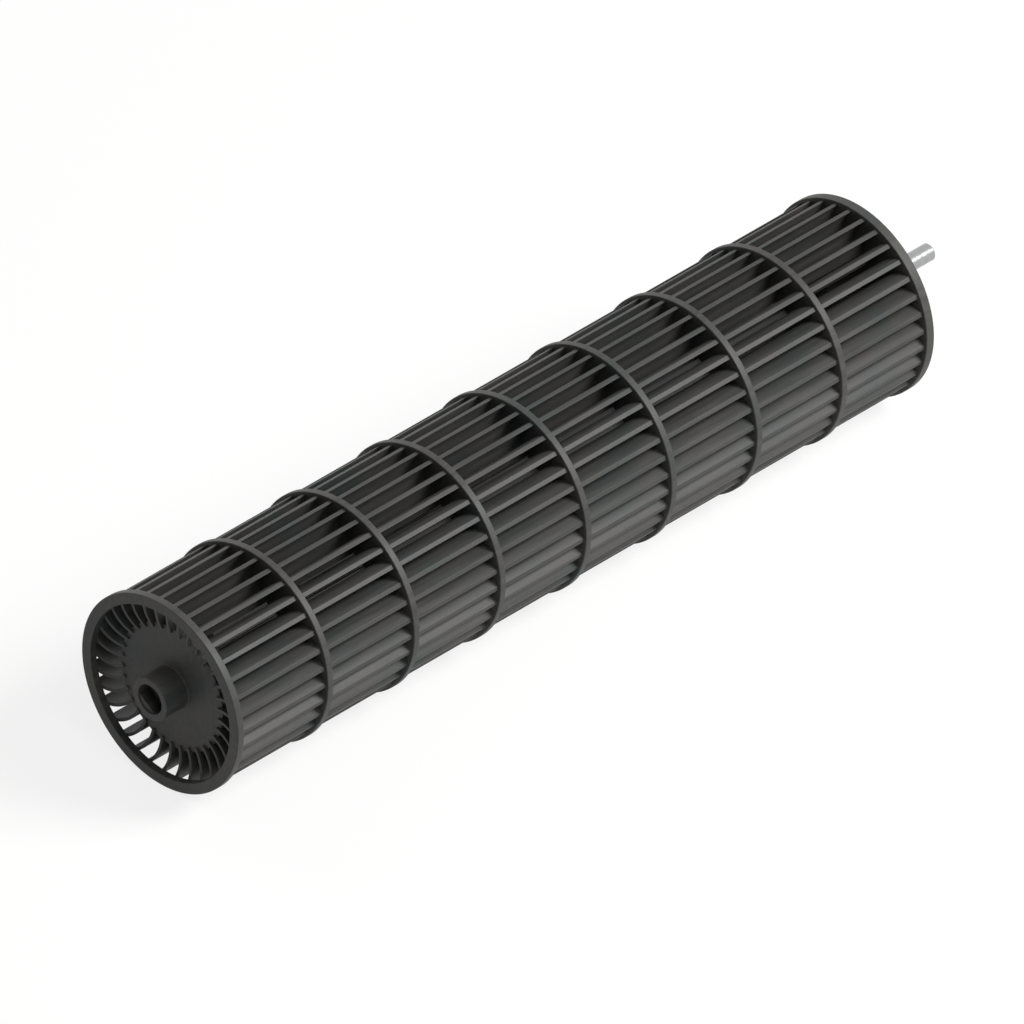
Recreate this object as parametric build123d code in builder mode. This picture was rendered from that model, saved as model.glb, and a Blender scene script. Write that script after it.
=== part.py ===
from build123d import *
from math import asin, cos, degrees, radians, sin, sqrt
import os

# Cross flow fan rotor, in millimetres. Its axis is X: the motor drives the low end and a steel
# pin runs in a bearing at the high end. The origin is the centre of the motor socket's mouth.

# Rows of blades
ring_radius = 46.0  # outer radius of the end ring, the discs and the end plate
ring_proud = 1.4  # how far they stand out beyond the blades
blade_count = 34  # blades in a row
row_count = 8  # rows of blades, the hub block's own included
first_row_length = 53.0  # from the end ring's front face to the first disc
row_pitch = 51.0  # from one disc to the next
disc_thickness = 3.3
disc_lip = 1.1  # how far the discs reach in past the blades

# Blade section: an arc from the inner edge to the outer edge, which lies ahead of it
blade_inner_radius = 27.6
blade_outer_radius = ring_radius - ring_proud
blade_lead = 4.0  # degrees from the inner edge forward to the outer edge
camber_radius = 17.2
inner_edge_thickness = 1.4
outer_edge_thickness = 1.65
blade_facets = 3  # flats along each side of a blade
first_blade_angle = 7.0  # degrees from +Y to the inner edge of the hub block's first blade
block_turn = 0.75  # degrees that each block is turned forward on the one before it

# Motor end
end_ring_thickness = 3.7
end_ring_overlap = 3.75  # how far the end ring reaches in over the blades' outer edges
hub_disc_overlap = 2.3  # how far the hub disc reaches out between the blades
hub_disc_thickness = 2.6
hub_disc_recess = 7.0  # from the end ring's front face back to the disc's
blade_step = 1.0  # how far the blades' inner edges stand in front of the hub disc
boss_radius = 9.85
boss_reach = 6.0  # how far the boss stands out in front of the end ring
boss_tail = 5.0  # how far the boss runs on behind the hub disc
socket_radius = 6.9
socket_depth = 7.0
socket_lead_in = 0.8  # round mouth in front of the flat
socket_flat = 4.3  # from the axis to the flat that makes the socket a D
socket_flat_angle = -54.0  # degrees from +Y to the middle of the flat
shaft_bore_radius = 4.0
shaft_bore_end_wall = 2.4

# Bearing end
end_plate_thickness = 4.4
end_plate_rim_width = 5.0
end_plate_recess = 1.2  # depth of the sunk face between the rim and the boss
pin_boss_radius = 9.0  # at the plate; the boss tapers to both its ends
pin_boss_draft = 1.2  # how much the boss's radius shrinks towards an end
pin_boss_reach = 6.0  # beyond the end plate's outer face
pin_boss_tail = 10.0  # behind the end plate's inner face
pin_radius = 4.0
knurl_height = 0.4  # how far the pin's root, which the plastic grips, stands out beyond the rest
pin_reach = 44.6  # beyond the end plate's outer face
pin_tip_chamfer = 1.0
pin_end_wall = 3.0  # plastic behind the pin's inner end
pin_groove_width = 2.0
pin_groove_depth = 0.8

# Radii that follow from the sizes above
disc_hole_radius = blade_inner_radius - disc_lip
end_ring_hole_radius = blade_outer_radius - end_ring_overlap
hub_disc_radius = blade_inner_radius + hub_disc_overlap
pin_root_radius = pin_radius + knurl_height

# Stations along the axis
ring_front = boss_reach
ring_back = ring_front + end_ring_thickness
hub_disc_front = ring_front + hub_disc_recess
hub_disc_back = hub_disc_front + hub_disc_thickness
boss_back = hub_disc_back + boss_tail
first_row_end = ring_front + first_row_length
plate_inner = first_row_end + (row_count - 1) * row_pitch
plate_outer = plate_inner + end_plate_thickness
pin_boss_back = plate_inner - pin_boss_tail
pin_boss_front = plate_outer + pin_boss_reach
pin_start = pin_boss_back + pin_end_wall
pin_end = plate_outer + pin_reach


def camber_arc():
    """Centre, start angle and turn of the arc that runs along the middle of a blade."""
    lead = radians(blade_lead)
    outer_x = blade_outer_radius * cos(lead)
    outer_y = blade_outer_radius * sin(lead)
    chord_x = outer_x - blade_inner_radius
    chord = sqrt(chord_x**2 + outer_y**2)
    chord_angle = degrees(asin(outer_y / chord))
    half_turn = degrees(asin(chord / 2 / camber_radius))
    start = chord_angle - 90 - half_turn
    centre_x = blade_inner_radius - camber_radius * cos(radians(start))
    centre_y = -camber_radius * sin(radians(start))
    return centre_x, centre_y, start, 2 * half_turn


def blade_side(side):
    """Points along one side of the blade: 1 is the hollow side and -1 the round one."""
    centre_x, centre_y, start, turn = camber_arc()
    points = []
    for step in range(blade_facets + 1):
        share = step / blade_facets
        thickness = inner_edge_thickness + share * (outer_edge_thickness - inner_edge_thickness)
        radius = camber_radius - side * thickness / 2
        angle = radians(start + share * turn)
        points.append((centre_x + radius * cos(angle), centre_y + radius * sin(angle)))
    return points


blade_outline = [*blade_side(-1), *reversed(blade_side(1))]


def blade_row(station, start_angle):
    """The sections of a whole row of blades, drawn across the axis at a station."""
    with BuildSketch(Plane.YZ.offset(station)) as row:
        with PolarLocations(0, blade_count, start_angle=start_angle):
            Polygon(*blade_outline, align=None)
    return row.sketch


def ring(station, outer_radius, hole_radius):
    """A flat ring's outline, drawn across the axis at a station."""
    with BuildSketch(Plane.YZ.offset(station)) as outline:
        Circle(outer_radius)
        Circle(hole_radius, mode=Mode.SUBTRACT)
    return outline.sketch


# Hub block: end ring, hub disc, motor boss and the first row of blades in one moulding
with BuildPart() as hub_blade:
    with BuildSketch(Plane.YZ.offset(ring_back)):
        Polygon(*blade_outline, align=None)
    extrude(amount=first_row_end - ring_back)
    # its front end slopes back from the end ring's hole to the hub disc
    with BuildSketch(Plane.XY):
        slope_end = hub_disc_front - blade_step
        Polygon(
            (ring_back, 0),
            (ring_back, end_ring_hole_radius),
            (slope_end, blade_inner_radius),
            (slope_end, 0),
            align=None,
        )
    extrude(amount=ring_radius, both=True, mode=Mode.SUBTRACT)

with BuildPart() as hub_block:
    for blade in range(blade_count):
        turn = first_blade_angle + blade * 360 / blade_count
        add(hub_blade.part.rotate(Axis.X, turn))
    extrude(ring(ring_front, ring_radius, end_ring_hole_radius), amount=end_ring_thickness)
    with BuildSketch(Plane.YZ.offset(hub_disc_front)):
        Circle(hub_disc_radius)
    extrude(amount=hub_disc_thickness)
    with BuildSketch(Plane.YZ):
        Circle(boss_radius)
    extrude(amount=boss_back)
    # D-shaped socket behind a round mouth, and the shaft's bore beyond its floor
    with BuildSketch(Plane.YZ):
        Circle(socket_radius)
    extrude(amount=socket_lead_in, mode=Mode.SUBTRACT)
    with BuildSketch(Plane.YZ):
        Circle(socket_radius)
        with PolarLocations(socket_flat, 1, start_angle=socket_flat_angle):
            flat_size = 2 * socket_radius
            Rectangle(flat_size, flat_size, align=(Align.MIN, Align.CENTER), mode=Mode.SUBTRACT)
    extrude(amount=socket_depth, mode=Mode.SUBTRACT)
    with BuildSketch(Plane.YZ):
        Circle(shaft_bore_radius)
    extrude(amount=boss_back - shaft_bore_end_wall, mode=Mode.SUBTRACT)
hub_block.part.label = "hub_block"


def blade_block(station, start_angle):
    """One of the like blocks: a disc with a row of blades that ends on the next piece."""
    with BuildPart() as block:
        extrude(blade_row(station, start_angle), amount=row_pitch)
        extrude(ring(station, ring_radius, disc_hole_radius), amount=disc_thickness)
    return block.part


blade_blocks = []
for row in range(2, row_count + 1):
    row_start = first_row_end + (row - 2) * row_pitch
    block = blade_block(row_start, first_blade_angle + (row - 1) * block_turn)
    block.label = f"blade_block_{row}"
    blade_blocks.append(block)


# Bearing pin: a smooth journal with a chamfered tip, on a thicker root with a groove
with BuildPart() as bearing_pin:
    groove_start = (pin_start + pin_boss_front - pin_groove_width) / 2
    groove_end = groove_start + pin_groove_width
    groove_radius = pin_root_radius - pin_groove_depth
    with BuildSketch(Plane.XY):
        Polygon(
            (pin_start, 0),
            (pin_start, pin_root_radius),
            (groove_start, pin_root_radius),
            (groove_start, groove_radius),
            (groove_end, groove_radius),
            (groove_end, pin_root_radius),
            (pin_boss_front, pin_root_radius),
            (pin_boss_front, pin_radius),
            (pin_end - pin_tip_chamfer, pin_radius),
            (pin_end, pin_radius - pin_tip_chamfer),
            (pin_end, 0),
            align=None,
        )
    revolve(axis=Axis.X)
bearing_pin.part.label = "bearing_pin"


# End plate: a closed disc with a sunk outer face and a boss moulded round the pin's root
with BuildPart() as end_plate:
    recess_floor = plate_outer - end_plate_recess
    rim_radius = ring_radius - end_plate_rim_width
    boss_end_radius = pin_boss_radius - pin_boss_draft
    with BuildSketch(Plane.XY):
        Polygon(
            (pin_boss_back, 0),
            (pin_boss_back, boss_end_radius),
            (plate_inner, pin_boss_radius),
            (plate_inner, ring_radius),
            (plate_outer, ring_radius),
            (plate_outer, rim_radius),
            (recess_floor, rim_radius),
            (recess_floor, pin_boss_radius),
            (pin_boss_front, boss_end_radius),
            (pin_boss_front, 0),
            align=None,
        )
    revolve(axis=Axis.X)
    add(bearing_pin.part, mode=Mode.SUBTRACT)
end_plate.part.label = "end_plate"


os.makedirs("parts", exist_ok=True)
for piece in [hub_block.part, *blade_blocks, end_plate.part, bearing_pin.part]:
    export_step(piece, f"parts/{piece.label}.step")
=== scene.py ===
"""Finished model of a cross flow fan rotor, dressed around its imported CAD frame.

The rotor is a row of glass-filled plastic mouldings welded end to end, with a steel pin in its
last piece. Every moulding is rebuilt here with its true edges, smooth blades and root fillets,
stands for its CAD node and takes its place along the axis from that node's box.
"""

import logging
import math
from dataclasses import dataclass, field
from enum import Enum
from typing import Callable, Sequence

import bmesh
import bpy
from mathutils import Matrix, Vector

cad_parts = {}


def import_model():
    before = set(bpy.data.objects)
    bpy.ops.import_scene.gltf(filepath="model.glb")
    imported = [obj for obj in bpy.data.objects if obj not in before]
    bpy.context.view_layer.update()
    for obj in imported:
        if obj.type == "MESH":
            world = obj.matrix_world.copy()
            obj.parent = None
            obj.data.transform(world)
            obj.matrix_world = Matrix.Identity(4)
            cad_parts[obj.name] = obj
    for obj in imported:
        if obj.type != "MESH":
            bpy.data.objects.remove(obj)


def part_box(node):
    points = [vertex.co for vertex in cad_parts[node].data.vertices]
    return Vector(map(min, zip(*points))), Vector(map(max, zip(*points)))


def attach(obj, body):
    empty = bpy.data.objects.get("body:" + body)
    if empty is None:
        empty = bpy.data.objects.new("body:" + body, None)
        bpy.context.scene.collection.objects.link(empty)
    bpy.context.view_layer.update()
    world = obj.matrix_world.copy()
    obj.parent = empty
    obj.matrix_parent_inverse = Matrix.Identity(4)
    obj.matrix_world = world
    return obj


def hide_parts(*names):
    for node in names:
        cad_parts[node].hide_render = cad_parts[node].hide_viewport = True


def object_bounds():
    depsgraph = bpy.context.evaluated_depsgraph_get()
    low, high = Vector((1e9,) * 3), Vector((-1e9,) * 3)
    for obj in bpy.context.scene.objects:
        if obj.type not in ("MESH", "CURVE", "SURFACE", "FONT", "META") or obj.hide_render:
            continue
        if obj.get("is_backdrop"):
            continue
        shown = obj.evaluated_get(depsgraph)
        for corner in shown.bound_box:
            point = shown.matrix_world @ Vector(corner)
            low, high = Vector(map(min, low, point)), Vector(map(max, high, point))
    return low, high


MM = 0.001
BODY = "root"
ROW_COUNT = 8  # rows of blades, the hub block's own included
BLADE_COUNT = 34  # blades in a row
FIRST_BLADE_ANGLE = 5.75  # degrees from +Y to the inner edge of the hub row's first blade
BLOCK_TURN = 0.75  # degrees that each block is turned on the one before it
RIM_RADIUS = 46.0  # mm, of the end ring, the discs and the end plate
RIM_ROUND = 0.45  # mm, of their rims' edges
RIM_COLUMNS = 144  # columns of faces round a rim
SHARP_ANGLE = 32.0  # degrees; edges that turn by more stay sharp
MERGE_DISTANCE = 1e-7  # metres
WHITE = "#ffffff"
log = logging.getLogger("fan")

Corner = tuple[float, float, float]
Point = tuple[float, float]
Span = tuple[float, float]
Reach = Callable[[int, float, float], float]
Socket = bpy.types.NodeSocket
Tree = bpy.types.NodeTree


# ---------------------------------------------------------------- nodes


def linear(hex_colour: str) -> tuple[float, float, float, float]:
    """Turn an sRGB hex colour into linear red, green, blue and alpha, by the standard curve.

    Args:
        hex_colour: six hex digits after a hash sign.

    Returns:
        The linear colour with an alpha of 1.
    """
    channels = [int(hex_colour[i : i + 2], 16) / 255 for i in (1, 3, 5)]
    red, green, blue = (
        c / 12.92 if c <= 0.04045 else ((c + 0.055) / 1.055) ** 2.4 for c in channels
    )
    return red, green, blue, 1.0


def add_node(
    tree: Tree, kind: str, inputs: dict[str | int, object] | None = None, **settings: object
) -> bpy.types.Node:
    """Add a node with its settings and links.

    Args:
        tree: the tree that gets the node.
        kind: the node's type.
        inputs: a value, or another node's output to link, for each input by name or number.
        settings: the node's own properties.

    Returns:
        The new node.
    """
    node = tree.nodes.new(kind)
    for name, value in settings.items():
        setattr(node, name, value)
    for key, value in (inputs or {}).items():
        if isinstance(value, Socket):
            tree.links.new(value, node.inputs[key])
        else:
            node.inputs[key].default_value = value
    return node


def calculate(tree: Tree, operation: str, *values: Socket | float) -> Socket:
    """Add a node that does one sum, and return its result."""
    inputs = dict(enumerate(values))
    return add_node(tree, "ShaderNodeMath", inputs, operation=operation).outputs[0]


def noise(tree: Tree, place: Socket, size_mm: float, detail: float) -> Socket:
    """Add noise with spots of a size in mm, and return its value."""
    inputs = {"Vector": place, "Scale": 1 / (size_mm * MM), "Detail": detail}
    return add_node(tree, "ShaderNodeTexNoise", inputs).outputs[0]


def spread(tree: Tree, value: Socket, taken: Span, given: Span = (0.0, 1.0)) -> Socket:
    """Map one range of a value onto another.

    Args:
        tree: the tree that gets the node.
        value: the value to map.
        taken: the low and high ends of its own range.
        given: what they become.

    Returns:
        The mapped value, which stays between the given ends.
    """
    inputs = {"Value": value, "From Min": taken[0], "From Max": taken[1]}
    inputs |= {"To Min": given[0], "To Max": given[1]}
    return add_node(tree, "ShaderNodeMapRange", inputs).outputs[0]


def blend(tree: Tree, share: Socket, first: object, second: object) -> Socket:
    """Add a mix of two colours, the second by a share, and return it."""
    inputs = {0: share, 6: first, 7: second}
    return add_node(tree, "ShaderNodeMix", inputs, data_type="RGBA").outputs[2]


# ---------------------------------------------------------------- meshes


def polar(radius: float, angle: float) -> Vector:
    """Place a point at a distance and an angle in radians."""
    return Vector((math.cos(angle), math.sin(angle))) * radius


def evenly(count: int) -> list[float]:
    """Angles in degrees that divide a full turn."""
    return [i * 360 / count for i in range(count)]


def quarter_turn(steps: int) -> list[float]:
    """Angles in radians from 0 to a right angle."""
    return [math.radians(i * 90 / steps) for i in range(steps + 1)]


def rounded(corners: Sequence[Corner], steps: int = 4) -> list[Point]:
    """Round the corners of an open profile with arcs.

    Args:
        corners: each corner's two coordinates and its radius, in mm.
        steps: flats in each arc.

    Returns:
        The profile's points in mm.
    """
    points: list[Point] = []
    for i, (x, y, radius) in enumerate(corners):
        if radius == 0 or i in (0, len(corners) - 1):
            points.append((x, y))
            continue
        here = Vector((x, y))
        back = (Vector(corners[i - 1][:2]) - here).normalized()
        on = (Vector(corners[i + 1][:2]) - here).normalized()
        half = back.angle(on) / 2
        centre = here + (back + on).normalized() * (radius / math.sin(half))
        first = here + back * (radius / math.tan(half)) - centre
        last = here + on * (radius / math.tan(half)) - centre
        for step in range(steps + 1):
            spoke = first.slerp(last, step / steps).normalized()
            points.append(tuple(centre + spoke * radius))
    return points


def lathe(
    name: str, profile: Sequence[Point], angles: Sequence[float], reach: Reach | None = None
) -> bpy.types.Mesh:
    """Turn a profile about the X axis into a closed mesh.

    Args:
        name: the mesh's name.
        profile: points along and away from the axis in mm. It is closed into a loop, unless it
            starts and ends on the axis.
        angles: the angles of the profile's copies, in degrees from +Y towards +Z.
        reach: gives a point's distance from the axis, from its number, its own distance and the
            copy's angle, where the form isn't round.

    Returns:
        The mesh in metres, with its faces pointing outwards.
    """
    form = bmesh.new()
    columns = []
    for angle in angles:
        turn = math.radians(angle)
        column = []
        for index, (x, radius) in enumerate(profile):
            r = reach(index, radius, angle) if reach else radius
            place = (x * MM, r * MM * math.cos(turn), r * MM * math.sin(turn))
            column.append(form.verts.new(place))
        columns.append(column)
    closed = profile[0][1] > 0
    spans = len(profile) if closed else len(profile) - 1
    for i, column in enumerate(columns):
        beside = columns[(i + 1) % len(columns)]
        for j in range(spans):
            k = (j + 1) % len(profile)
            form.faces.new((column[j], column[k], beside[k], beside[j]))
    bmesh.ops.remove_doubles(form, verts=form.verts, dist=MERGE_DISTANCE)
    bmesh.ops.dissolve_degenerate(form, edges=form.edges, dist=MERGE_DISTANCE)
    bmesh.ops.recalc_face_normals(form, faces=form.faces)
    return meshed(name, form)


def meshed(name: str, form: bmesh.types.BMesh) -> bpy.types.Mesh:
    """Turn an edited form into a mesh, and free the form."""
    mesh = bpy.data.meshes.new(name)
    form.to_mesh(mesh)
    form.free()
    return mesh


def joined(name: str, meshes: Sequence[bpy.types.Mesh]) -> bpy.types.Mesh:
    """Put several meshes into one."""
    form = bmesh.new()
    for mesh in meshes:
        form.from_mesh(mesh)
    return meshed(name, form)


def shown(name: str, data: bpy.types.ID) -> bpy.types.Object:
    """Put a mesh, lamp or camera into the scene as an object."""
    thing = bpy.data.objects.new(name, data)
    bpy.context.scene.collection.objects.link(thing)
    return thing


def applied(thing: bpy.types.Object) -> bpy.types.Mesh:
    """Copy an object's mesh as its modifiers leave it."""
    graph = bpy.context.evaluated_depsgraph_get()
    return bpy.data.meshes.new_from_object(thing.evaluated_get(graph), depsgraph=graph)


def finished(name: str, mesh: bpy.types.Mesh, finish: bpy.types.Material) -> bpy.types.Object:
    """Make a shaded object of a mesh, with flats that stay flat beside their rounded edges.

    Args:
        name: the object's name.
        mesh: its mesh, in metres in the frame.
        finish: its material.

    Returns:
        The object, at the origin with no modifier left on it.
    """
    mesh.materials.clear()
    mesh.materials.append(finish)
    mesh.shade_smooth()
    mesh.set_sharp_from_angle(angle=math.radians(SHARP_ANGLE))
    piece = shown(name, mesh)
    weighting = piece.modifiers.new("flat faces", "WEIGHTED_NORMAL")
    weighting.keep_sharp = True
    piece.data = applied(piece)
    piece.modifiers.clear()
    piece.data.name = name
    return piece


def declare(piece: bpy.types.Object, slot: str, *nodes: str) -> None:
    """Hang a finished piece on the body, hide the CAD nodes that it stands for and log its
    faces.

    Args:
        piece: the finished piece.
        slot: not used.
        nodes: the CAD nodes that it replaces.
    """
    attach(piece, BODY)
    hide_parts(*nodes)
    faces = len(piece.data.polygons)
    log.info("%s stands for %s, %d faces", piece.name, ", ".join(nodes), faces)


# ---------------------------------------------------------------- finishes


@dataclass(frozen=True)
class GlassFilledPlastic:
    """Glass-filled styrene-acrylonitrile, injection moulded and coloured right through.

    The skin is a dark satin with a fine eroded grain. Glass fibres near the surface leave faint
    streaks along the flow and cloud the colour a little, so no face is quite one tone.
    """

    name: str = "moulded_glass_filled_san"
    deep: str = "#323331"
    clouded: str = "#413f3d"
    cool: str = "#303736"
    ior: float = 1.57
    specular_level: float = 0.2  # fine grain hides part of the gloss that the index alone gives
    smoothest: float = 0.46
    roughest: float = 0.6
    mottle_range: Span = (0.12, 0.4)  # of streaks times grain, from smoothest to roughest
    grain_mm: float = 0.35  # a real grain is nearer 0.1 mm, too fine to show
    grain_strength: float = 0.16
    grain_depth_mm: float = 0.05
    streak_mm: float = 2.2
    streak_length_mm: float = 30.0
    streak_range: Span = (0.32, 0.68)  # of their noise, from deep to clouded
    streak_strength: float = 0.12
    streak_depth_mm: float = 0.12
    cloud_mm: float = 26.0
    cloud_range: Span = (0.48, 0.72)  # of their noise, from none to the most of the cool colour
    cloud_most: float = 0.7

    def build(self) -> bpy.types.Material:
        """Build the material's node tree."""
        material = bpy.data.materials.new(self.name)
        material.use_nodes = True
        tree = material.node_tree
        shader = tree.nodes["Principled BSDF"]
        shader.inputs["IOR"].default_value = self.ior
        shader.inputs["Specular IOR Level"].default_value = self.specular_level
        place = add_node(tree, "ShaderNodeTexCoord").outputs["Object"]
        squeeze = (self.streak_mm / self.streak_length_mm, 1.0, 1.0)
        squeezed = {"Vector": place, "Scale": squeeze}
        along = add_node(tree, "ShaderNodeMapping", squeezed).outputs[0]
        clouds = noise(tree, place, self.cloud_mm, detail=3.0)
        streaks = noise(tree, along, self.streak_mm, detail=4.0)
        grain = noise(tree, place, self.grain_mm, detail=2.0)

        tone = spread(tree, streaks, self.streak_range)
        body = blend(tree, tone, linear(self.deep), linear(self.clouded))
        patch = spread(tree, clouds, self.cloud_range, (0.0, self.cloud_most))
        colour = blend(tree, patch, body, linear(self.cool))
        tree.links.new(colour, shader.inputs["Base Color"])

        mottle = calculate(tree, "MULTIPLY", streaks, grain)
        roughness = spread(tree, mottle, self.mottle_range, (self.smoothest, self.roughest))
        tree.links.new(roughness, shader.inputs["Roughness"])

        eroded = {
            "Height": grain,
            "Strength": self.grain_strength,
            "Distance": self.grain_depth_mm * MM,
        }
        skin = add_node(tree, "ShaderNodeBump", eroded).outputs[0]
        streaked = {
            "Height": streaks,
            "Strength": self.streak_strength,
            "Distance": self.streak_depth_mm * MM,
            "Normal": skin,
        }
        flow = add_node(tree, "ShaderNodeBump", streaked).outputs[0]
        tree.links.new(flow, shader.inputs["Normal"])
        return material


@dataclass(frozen=True)
class GroundSteel:
    """Bright steel bar, centreless ground.

    It is nearly a mirror along its length and softer round it, because the wheel leaves fine
    rings.
    """

    name: str = "ground_bright_steel"
    bright: str = "#b9baba"
    dull: str = "#8f9192"
    smoothest: float = 0.16
    roughest: float = 0.3
    ring_mm: float = 0.3  # real grinding rings are a tenth of this, too fine to show
    ring_squeeze: float = 0.04  # across the axis, which draws spots of noise out into rings
    ring_range: Span = (0.3, 0.7)  # of their noise, from smoothest to roughest
    ring_strength: float = 0.1
    ring_depth_mm: float = 0.02

    def build(self) -> bpy.types.Material:
        """Build the material's node tree."""
        material = bpy.data.materials.new(self.name)
        material.use_nodes = True
        tree = material.node_tree
        shader = tree.nodes["Principled BSDF"]
        shader.inputs["Metallic"].default_value = 1.0
        place = add_node(tree, "ShaderNodeTexCoord").outputs["Object"]
        squeezed = {"Vector": place, "Scale": (1.0, self.ring_squeeze, self.ring_squeeze)}
        across = add_node(tree, "ShaderNodeMapping", squeezed).outputs[0]
        rings = noise(tree, across, self.ring_mm, detail=3.0)
        colour = blend(tree, rings, linear(self.bright), linear(self.dull))
        tree.links.new(colour, shader.inputs["Base Color"])
        roughness = spread(tree, rings, self.ring_range, (self.smoothest, self.roughest))
        tree.links.new(roughness, shader.inputs["Roughness"])
        ground = {
            "Height": rings,
            "Strength": self.ring_strength,
            "Distance": self.ring_depth_mm * MM,
        }
        skin = add_node(tree, "ShaderNodeBump", ground).outputs[0]
        tree.links.new(skin, shader.inputs["Normal"])
        return material


# ---------------------------------------------------------------- blades


class FrontEnd(Enum):
    """How the end of a blade nearest the motor is made."""

    ROOTED = "rooted in its disc with a small fillet"
    SLOPED = "sloping back from the end ring to the hub disc"


@dataclass
class BladeSection:
    """The forward-curved section that every blade shares. Sizes in mm, angles in degrees.

    Places in it are given by a share of the way along the arc through its middle, and by how far
    they lie from the arc towards the blade's round side.
    """

    inner_radius: float = 27.6
    outer_radius: float = 44.6
    lead: float = 5.25  # from the inner edge forward to the outer edge
    camber_radius: float = 15.9
    inner_thickness: float = 1.4
    outer_thickness: float = 1.65
    corner_radius: float = 0.2
    corner_steps: int = 3
    side_steps: int = 14
    edge_steps: int = 12
    trim_range: Span = (0.5, 1.5)  # shares between which both sides reach the outer radius
    trim_halvings: int = 40

    def camber(self) -> tuple[Vector, float, float]:
        """Find the arc along the middle of the blade.

        Returns:
            The arc's centre, its start angle and its turn, in mm and radians.
        """
        inner = Vector((self.inner_radius, 0))
        outer = polar(self.outer_radius, math.radians(self.lead))
        chord = outer - inner
        half = math.asin(chord.length / 2 / self.camber_radius)
        start = math.atan2(chord.y, chord.x) - math.pi / 2 - half
        centre = inner - polar(self.camber_radius, start)
        return centre, start, 2 * half

    def spot(self, share: float, aside: float) -> Vector:
        """Find a place from its share of the way along the arc and its distance from it."""
        centre, start, turn = self.camber()
        return centre + polar(self.camber_radius + aside, start + share * turn)

    def half_thickness(self, share: float) -> float:
        """Half the blade's thickness at a share of the way along the arc."""
        return (self.inner_thickness + share * (self.outer_thickness - self.inner_thickness)) / 2

    def nose(self) -> float:
        """The share of the arc that the round inner edge takes up."""
        length = self.camber()[2] * self.camber_radius
        return self.inner_thickness / 2 / length

    def side(self, sign: int) -> list[Vector]:
        """Draw one side, from the round inner edge to the outer radius.

        Args:
            sign: 1 for the round side and -1 for the hollow one.

        Returns:
            Points in mm.
        """
        low, high = self.trim_range
        for _ in range(self.trim_halvings):
            end = (low + high) / 2
            if self.spot(end, sign * self.half_thickness(end)).length < self.outer_radius:
                low = end
            else:
                high = end
        nose = self.nose()
        shares = [nose + (end - nose) * i / self.side_steps for i in range(self.side_steps + 1)]
        return [self.spot(share, sign * self.half_thickness(share)) for share in shares]

    def outline(self) -> list[Vector]:
        """Draw the closed outline, with a round inner edge and an outer edge on its radius.

        Returns:
            Points in mm, the first coordinate away from the axis and the second forward.
        """
        round_edge = []
        for step in range(1, self.edge_steps):
            angle = math.pi * step / self.edge_steps
            share = self.nose() * (1 - math.sin(angle))
            round_edge.append(self.spot(share, -self.half_thickness(0) * math.cos(angle)))
        outward, inward = self.side(1), list(reversed(self.side(-1)))
        tip = [outward.pop(), inward.pop(0)]
        corners = [
            (*outward[-1], 0.0),
            *((*corner, self.corner_radius) for corner in tip),
            (*inward[0], 0.0),
        ]
        edge = [Vector(point) for point in rounded(corners, self.corner_steps)]
        return [*outward[:-1], *edge, *inward[1:], *round_edge]


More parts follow.
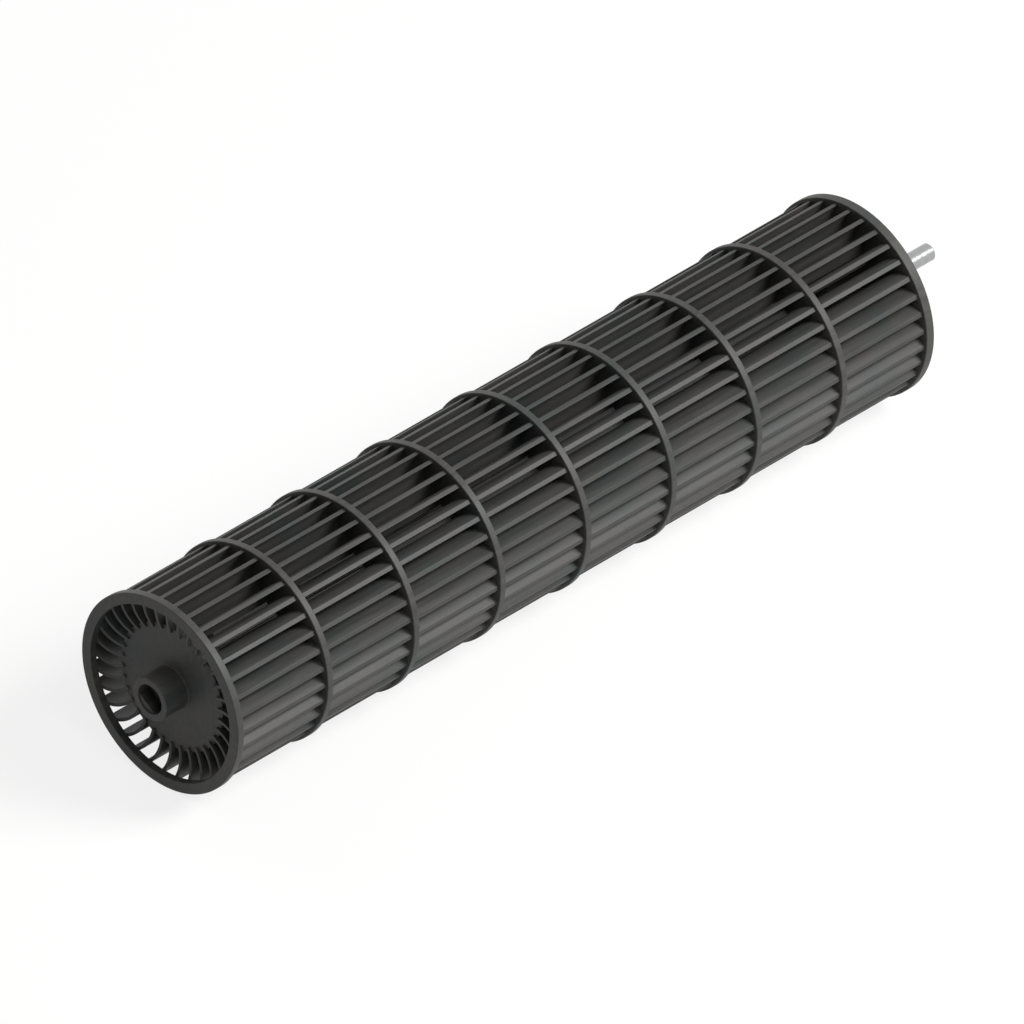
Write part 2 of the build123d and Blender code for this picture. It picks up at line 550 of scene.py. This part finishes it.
@dataclass
class BladeRow:
    """A ring of like blades between two stations along the axis. Sizes in mm."""

    section: BladeSection
    start: float
    end: float
    front: FrontEnd
    first_angle: float  # degrees from +Y
    slope_radius: float = 0.0  # where a sloping end leaves the end ring
    slope_depth: float = 0.0  # how much further back it is at the blade's inner edge
    slope_round: float = 0.22
    slope_steps: int = 3
    slope_run: float = 2.0  # from the slope's back to the first square section
    fillet: float = 0.45
    fillet_steps: int = 4
    root: float = 0.3  # how far a rooted end runs into its own disc
    overrun: float = 0.1  # how far the blades run into the next piece's weld
    last_run: float = 4.0  # from the last square section but one to the end

    def sloped(self, back: float) -> Callable[[float], float]:
        """Give the place along the axis of a slope that stands back from the row's start."""
        span = self.slope_radius - self.section.inner_radius
        front = self.start + back
        return lambda radius: front + (self.slope_radius - radius) * self.slope_depth / span

    def stations(self) -> list[tuple[Callable[[float], float], float]]:
        """List the sections along a blade.

        Returns:
            For each section, its place in mm as a function of the distance from the axis, and
            how far its outline is swelled.
        """

        def square(place: float) -> Callable[[float], float]:
            """Give the place of a section square to the axis, the same at every distance."""
            return lambda radius: place

        near = []
        if self.front is FrontEnd.SLOPED:
            for angle in quarter_turn(self.slope_steps):
                back = self.slope_round * (1 - math.cos(angle))
                near.append((self.sloped(back), self.slope_round * (math.sin(angle) - 1)))
            near.append((square(self.start + self.slope_depth + self.slope_run), 0.0))
        else:
            near.append((square(self.start - self.root), self.fillet))
            for angle in quarter_turn(self.fillet_steps):
                place = self.start + self.fillet * (1 - math.cos(angle))
                near.append((square(place), self.fillet * (1 - math.sin(angle))))
        far = [(square(self.end - self.last_run), 0.0), (square(self.end + self.overrun), 0.0)]
        return near + far

    def blade(self) -> bpy.types.Mesh:
        """Build one blade at angle zero.

        Returns:
            A closed mesh in metres.
        """
        outline = self.section.outline()
        count = len(outline)
        normals = []
        for i, point in enumerate(outline):
            edge = outline[(i + 1) % count] - outline[i - 1]
            normals.append(Vector((edge.y, -edge.x)).normalized())
        area = sum(a.x * b.y - b.x * a.y for a, b in zip(outline, outline[1:] + outline[:1]))
        outward = 1.0 if area > 0 else -1.0
        form = bmesh.new()
        rings = []
        for place, swell in self.stations():
            ring = []
            for point, normal in zip(outline, normals):
                moved = point + normal * (outward * swell)
                ring.append(form.verts.new((place(point.x) * MM, moved.x * MM, moved.y * MM)))
            rings.append(ring)
        for near, far in zip(rings, rings[1:]):
            for i in range(count):
                j = (i + 1) % count
                form.faces.new((near[i], near[j], far[j], far[i]))
        form.faces.new(rings[0])
        form.faces.new(list(reversed(rings[-1])))
        bmesh.ops.recalc_face_normals(form, faces=form.faces)
        return meshed("one blade", form)

    def ring_tree(self) -> Tree:
        """Build the Geometry Nodes tree that repeats a blade about the X axis.

        Returns:
            A tree with inputs for the number of blades, their pitch, the first angle and the
            finish.
        """
        tree = bpy.data.node_groups.new("blade ring", "GeometryNodeTree")
        wanted = (
            ("Geometry", "NodeSocketGeometry"),
            ("Blades", "NodeSocketInt"),
            ("Pitch", "NodeSocketFloat"),
            ("First Angle", "NodeSocketFloat"),
            ("Finish", "NodeSocketMaterial"),
        )
        for name, kind in wanted:
            tree.interface.new_socket(name, in_out="INPUT", socket_type=kind)
        tree.interface.new_socket("Geometry", in_out="OUTPUT", socket_type="NodeSocketGeometry")
        given = add_node(tree, "NodeGroupInput").outputs
        counted = {"Count": given["Blades"]}
        axis_points = add_node(tree, "GeometryNodePoints", counted).outputs[0]
        number = add_node(tree, "GeometryNodeInputIndex").outputs[0]
        angle = calculate(tree, "MULTIPLY_ADD", number, given["Pitch"], given["First Angle"])
        about_x = {"Axis": (1.0, 0.0, 0.0), "Angle": angle}
        turn = add_node(tree, "FunctionNodeAxisAngleToRotation", about_x).outputs[0]
        placed = {"Points": axis_points, "Instance": given["Geometry"], "Rotation": turn}
        blades = add_node(tree, "GeometryNodeInstanceOnPoints", placed).outputs[0]
        real = add_node(tree, "GeometryNodeRealizeInstances", {"Geometry": blades}).outputs[0]
        coated = {"Geometry": real, "Material": given["Finish"]}
        dressed = add_node(tree, "GeometryNodeSetMaterial", coated).outputs[0]
        add_node(tree, "NodeGroupOutput", {"Geometry": dressed})
        return tree

    def build(self, finish: bpy.types.Material) -> bpy.types.Mesh:
        """Repeat the blade into its row.

        Args:
            finish: the blades' material.

        Returns:
            A plain mesh of the whole row.
        """
        carrier = shown("blade ring", self.blade())
        ring = carrier.modifiers.new("blade ring", "NODES")
        ring.node_group = self.ring_tree()
        settings = {
            "Blades": BLADE_COUNT,
            "Pitch": math.tau / BLADE_COUNT,
            "First Angle": math.radians(self.first_angle),
            "Finish": finish,
        }
        for item in ring.node_group.interface.items_tree:
            if item.in_out == "INPUT" and item.name in settings:
                ring[item.identifier] = settings[item.name]
        row = applied(carrier)
        bpy.data.objects.remove(carrier)
        return row


# ---------------------------------------------------------------- pieces


@dataclass
class Disc:
    """A flat ring with softly rounded edges. Sizes in mm."""

    hole_radius: float
    thickness: float
    hole_round: float = 0.3

    def build(self, start: float) -> bpy.types.Mesh:
        """Build the disc with its front face at a place along the axis.

        Args:
            start: the front face's place in mm.

        Returns:
            The disc's mesh.
        """
        end = start + self.thickness
        middle = (start + end) / 2
        profile = rounded(
            [
                (middle, self.hole_radius, 0.0),
                (end, self.hole_radius, self.hole_round),
                (end, RIM_RADIUS, RIM_ROUND),
                (start, RIM_RADIUS, RIM_ROUND),
                (start, self.hole_radius, self.hole_round),
                (middle, self.hole_radius, 0.0),
            ]
        )
        return lathe("disc", profile[:-1], evenly(RIM_COLUMNS))


@dataclass
class HubBlock:
    """The motor end: end ring, first row of blades, sunk hub disc and the boss with its socket.

    Sizes in mm, angles in degrees.
    """

    section: BladeSection
    node: str = "hub_block"
    ring: Disc = field(default_factory=lambda: Disc(hole_radius=40.85, thickness=3.7))
    blade_step: float = 1.0  # how far the blades' inner edges stand in front of the hub disc
    boss_reach: float = 6.0  # in front of the end ring
    boss_radius: float = 9.85
    boss_tail: float = 5.0
    boss_round: float = 0.4
    boss_fillet: float = 0.5
    tail_round: float = 0.6
    tail_fillet: float = 0.8
    disc_recess: float = 7.0  # from the end ring's front face back to the disc's
    disc_radius: float = 29.9
    disc_thickness: float = 2.6
    disc_round: float = 0.3
    socket_radius: float = 6.9
    socket_depth: float = 7.0
    socket_lead_in: float = 0.8  # round mouth in front of the flat
    socket_round: float = 0.25
    socket_flat: float = 4.3  # from the axis to the flat that makes the socket a D
    flat_angle: float = -54.0
    flat_clearance: float = 0.8  # between the flat's edges and the other columns of faces
    wall_step: float = 1e-3  # from the mouth in to the wall, which tells the two apart
    bore_radius: float = 4.0
    bore_round: float = 0.3
    end_wall: float = 2.4
    columns: int = 120

    def socket_angles(self) -> list[float]:
        """Angles of the hub's columns, with one at each edge of the socket's flat."""
        half = math.degrees(math.acos(self.socket_flat / self.socket_radius))
        edges = [self.flat_angle - half, self.flat_angle + half]

        def gap(angle: float) -> float:
            """How far an angle lies from the nearer edge of the flat."""
            return min(abs((angle - edge + 180) % 360 - 180) for edge in edges)

        steady = [angle for angle in evenly(self.columns) if gap(angle) > self.flat_clearance]
        return sorted([edge % 360 for edge in edges] + steady)

    def hub(self) -> bpy.types.Mesh:
        """Build the disc and boss, with the D-shaped socket and the shaft bore."""
        front = self.boss_reach + self.disc_recess
        back = front + self.disc_thickness
        tail = back + self.boss_tail
        bore_end = tail - self.end_wall
        wall = self.socket_radius - self.wall_step
        profile = rounded(
            [
                (bore_end, 0.0, 0.0),
                (bore_end, self.bore_radius, self.bore_round),
                (self.socket_depth, self.bore_radius, self.bore_round),
                (self.socket_depth, wall, 0.0),
                (self.socket_lead_in, wall, 0.0),
                (self.socket_lead_in, self.socket_radius, 0.0),
                (0.0, self.socket_radius, self.socket_round),
                (0.0, self.boss_radius, self.boss_round),
                (front, self.boss_radius, self.boss_fillet),
                (front, self.disc_radius, self.disc_round),
                (back, self.disc_radius, self.disc_round),
                (back, self.boss_radius, self.tail_fillet),
                (tail, self.boss_radius, self.tail_round),
                (tail, 0.0, 0.0),
            ]
        )
        wall_points = {index for index, (_, radius) in enumerate(profile) if radius == wall}

        def reach(index: int, radius: float, angle: float) -> float:
            """Bring the socket's wall in to the flat, and leave every other point round."""
            if index not in wall_points:
                return radius
            facing = math.cos(math.radians(angle - self.flat_angle))
            return min(radius, self.socket_flat / facing) if facing > 0 else radius

        return lathe("hub", profile, self.socket_angles(), reach)

    def build(self, finish: bpy.types.Material) -> bpy.types.Object:
        """Build the whole moulding as one piece."""
        low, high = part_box(self.node)
        ring_front = low.x / MM + self.boss_reach
        row = BladeRow(
            section=self.section,
            start=ring_front + self.ring.thickness,
            end=high.x / MM,
            front=FrontEnd.SLOPED,
            first_angle=FIRST_BLADE_ANGLE,
            slope_radius=self.ring.hole_radius,
            slope_depth=self.disc_recess - self.ring.thickness - self.blade_step,
        )
        parts = [self.ring.build(ring_front), self.hub(), row.build(finish)]
        return finished("hub_moulding", joined(self.node, parts), finish)


@dataclass
class BladeBlock:
    """One of the like blocks: a disc with its row of blades."""

    section: BladeSection
    number: int
    disc: Disc = field(default_factory=lambda: Disc(hole_radius=26.5, thickness=3.3))

    @property
    def node(self) -> str:
        """The CAD node that the block stands for."""
        return f"blade_block_{self.number}"

    def build(self, finish: bpy.types.Material) -> bpy.types.Object:
        """Build the moulding between the ends of its node's box."""
        low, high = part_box(self.node)
        front = low.x / MM
        row = BladeRow(
            section=self.section,
            start=front + self.disc.thickness,
            end=high.x / MM,
            front=FrontEnd.ROOTED,
            first_angle=FIRST_BLADE_ANGLE + BLOCK_TURN * (self.number - 1),
        )
        mesh = joined(self.node, [self.disc.build(front), row.build(finish)])
        return finished(f"blade_moulding_{self.number}", mesh, finish)


@dataclass
class EndPlate:
    """The closed plate at the bearing end, with the boss that holds the pin. Sizes in mm."""

    node: str = "end_plate"
    thickness: float = 4.4
    rim_width: float = 5.0
    recess: float = 1.2
    recess_round: float = 0.4
    boss_radius: float = 9.0
    boss_draft: float = 1.2
    boss_reach: float = 6.0
    boss_fillet: float = 1.5
    boss_round: float = 0.5
    tail_round: float = 0.6
    seat_radius: float = 4.0
    seat_depth: float = 1.0  # the pin's bare length runs on past it into the boss

    def build(self, finish: bpy.types.Material) -> bpy.types.Object:
        """Build the plate between the ends of its node's box."""
        low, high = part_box(self.node)
        boss_back, boss_front = low.x / MM, high.x / MM
        outer = boss_front - self.boss_reach
        inner = outer - self.thickness
        floor = outer - self.recess
        boss_end = self.boss_radius - self.boss_draft
        recess_radius = RIM_RADIUS - self.rim_width
        profile = rounded(
            [
                (boss_front - self.seat_depth, 0.0, 0.0),
                (boss_front - self.seat_depth, self.seat_radius, 0.0),
                (boss_front, self.seat_radius, 0.0),
                (boss_front, boss_end, self.boss_round),
                (floor, self.boss_radius, self.boss_fillet),
                (floor, recess_radius, self.recess_round),
                (outer, recess_radius, self.recess_round),
                (outer, RIM_RADIUS, RIM_ROUND),
                (inner, RIM_RADIUS, RIM_ROUND),
                (inner, self.boss_radius, self.boss_fillet),
                (boss_back, boss_end, self.tail_round),
                (boss_back, 0.0, 0.0),
            ]
        )
        mesh = lathe(self.node, profile, evenly(RIM_COLUMNS))
        return finished("end_plate_moulding", mesh, finish)


@dataclass
class BearingPin:
    """The steel pin that runs in the bearing. Sizes in mm."""

    node: str = "bearing_pin"
    holder: str = "end_plate"
    hold: float = 2.0  # how far the bare length runs back into its holder's boss
    radius: float = 4.0
    chamfer: float = 1.0
    edge_round: float = 0.25
    columns: int = 64

    def build(self, finish: bpy.types.Material) -> bpy.types.Object:
        """Build the pin's bare length, from inside the boss to its chamfered tip."""
        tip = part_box(self.node)[1].x / MM
        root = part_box(self.holder)[1].x / MM - self.hold
        profile = rounded(
            [
                (root, 0.0, 0.0),
                (root, self.radius, 0.0),
                (tip - self.chamfer, self.radius, self.edge_round),
                (tip, self.radius - self.chamfer, self.edge_round),
                (tip, 0.0, 0.0),
            ]
        )
        mesh = lathe(self.node, list(reversed(profile)), evenly(self.columns))
        return finished("steel_pin", mesh, finish)


# ---------------------------------------------------------------- studio


@dataclass
class Lamp:
    """A soft round lamp that looks at the rotor. Sizes in metres."""

    name: str
    towards: tuple[float, float, float]
    distance: float
    width: float
    watts: float

    def build(self, target: Vector) -> None:
        """Hang the lamp in its direction from the target."""
        data = bpy.data.lights.new(self.name, "AREA")
        data.shape = "DISK"
        data.size = self.width
        data.energy = self.watts
        lamp = shown(self.name, data)
        lamp.location = target + Vector(self.towards).normalized() * self.distance
        lamp.rotation_euler = (lamp.location - target).to_track_quat("Z", "Y").to_euler()
        lamp.visible_camera = False


@dataclass
class Studio:
    """Pale floor, white surroundings, soft lamps and a long lens. Sizes in metres."""

    middle: tuple[float, float, float] = (0.20995, 0.0, 0.0)  # where lamps and lens look
    floor_size: float = 14.0
    floor_colour: str = "#efefed"
    floor_roughness: float = 0.9
    floor_glow: float = 0.8  # how much of the floor the camera sees as plain white
    surround: float = 0.15  # strength of the light from all round
    lens_mm: float = 1600.0
    sensor_mm: float = 36.0
    view_limit: float = 100.0
    frame_width: float = 0.4282  # what the picture takes in at the aim
    azimuth: float = 44.64  # degrees the camera stands round from the motor end
    elevation: float = 34.63
    aim_right: float = 0.00305
    aim_up: float = -0.0069
    lamps: tuple[Lamp, ...] = (
        Lamp("key", (0.42, -0.63, 0.66), 1.7, 0.8, 40.0),
        Lamp("front", (-0.3, -0.55, 0.78), 1.7, 0.8, 6.0),
        Lamp("back", (0.1, 0.86, 0.5), 1.9, 1.2, 12.0),
    )

    def camera(self) -> None:
        """Stand the camera far off along its view, so that the rotor hardly narrows."""
        turn, rise = math.radians(self.azimuth), math.radians(self.elevation)
        level = math.cos(rise)
        back = -Vector((level * math.cos(turn), level * math.sin(turn), -math.sin(rise)))
        right = Vector((0, 0, 1)).cross(back).normalized()
        up = back.cross(right)
        aim = Vector(self.middle) + right * self.aim_right + up * self.aim_up
        data = bpy.data.cameras.new("camera")
        data.lens = self.lens_mm
        data.sensor_width = self.sensor_mm
        data.clip_end = self.view_limit
        camera = shown("camera", data)
        camera.location = aim + back * (self.frame_width * self.lens_mm / self.sensor_mm)
        camera.rotation_euler = back.to_track_quat("Z", "Y").to_euler()
        bpy.context.scene.camera = camera

    def seen(self, tree: Tree) -> Socket:
        """Add nodes that give 1 for camera, glossy and transmission rays and 0 for the rest."""
        path = add_node(tree, "ShaderNodeLightPath").outputs
        most = calculate(tree, "MAXIMUM", path["Is Camera Ray"], path["Is Glossy Ray"])
        return calculate(tree, "MAXIMUM", most, path["Is Transmission Ray"])

    def world(self) -> None:
        """Light the rotor from all round, and show white to the camera and in reflections."""
        world = bpy.data.worlds.new("white studio")
        world.use_nodes = True
        bpy.context.scene.world = world
        tree = world.node_tree
        background = tree.nodes["Background"].inputs
        strength = spread(tree, self.seen(tree), (0.0, 1.0), (self.surround, 1.0))
        tree.links.new(strength, background["Strength"])
        background["Color"].default_value = linear(WHITE)

    def floor(self, height: float) -> None:
        """Lay a pale floor that the camera sees nearly white, with the rotor's soft shadow."""
        form = bmesh.new()
        bmesh.ops.create_grid(form, x_segments=1, y_segments=1, size=self.floor_size / 2)
        mesh = meshed("floor", form)
        mesh.transform(Matrix.Translation((0, 0, height)))
        floor = shown("floor", mesh)
        material = bpy.data.materials.new("pale_floor")
        material.use_nodes = True
        tree = material.node_tree
        shader = tree.nodes["Principled BSDF"]
        shader.inputs["Base Color"].default_value = linear(self.floor_colour)
        shader.inputs["Roughness"].default_value = self.floor_roughness
        white = {"Color": linear(WHITE), "Strength": 1.0}
        glow = add_node(tree, "ShaderNodeEmission", white).outputs[0]
        share = calculate(tree, "MULTIPLY", self.seen(tree), self.floor_glow)
        both = {0: share, 1: shader.outputs[0], 2: glow}
        mixed = add_node(tree, "ShaderNodeMixShader", both).outputs[0]
        tree.links.new(mixed, tree.nodes["Material Output"].inputs["Surface"])
        mesh.materials.append(material)
        floor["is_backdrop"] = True

    def build(self, ground: float) -> None:
        """Build the studio on the ground, whose height is in metres."""
        self.camera()
        self.world()
        self.floor(ground)
        for lamp in self.lamps:
            lamp.build(Vector(self.middle))
        log.info("studio: floor at %.3f m, %d lamps", ground, len(self.lamps))


def main() -> None:
    """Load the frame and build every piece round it."""
    logging.basicConfig(level=logging.INFO, format="%(name)s: %(message)s")
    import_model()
    cad_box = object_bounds()
    plastic = GlassFilledPlastic().build()
    steel = GroundSteel().build()
    section = BladeSection()
    declare(HubBlock(section).build(plastic), "plastic", "hub_block")
    for number in range(2, ROW_COUNT + 1):
        block = BladeBlock(section, number)
        declare(block.build(plastic), "plastic", block.node)
    declare(EndPlate().build(plastic), "plastic", "end_plate")
    declare(BearingPin().build(steel), "steel", "bearing_pin")
    Studio().build(cad_box[0][2])
    bpy.context.scene.view_settings.view_transform = "Standard"


if __name__ == "__main__":
    main()
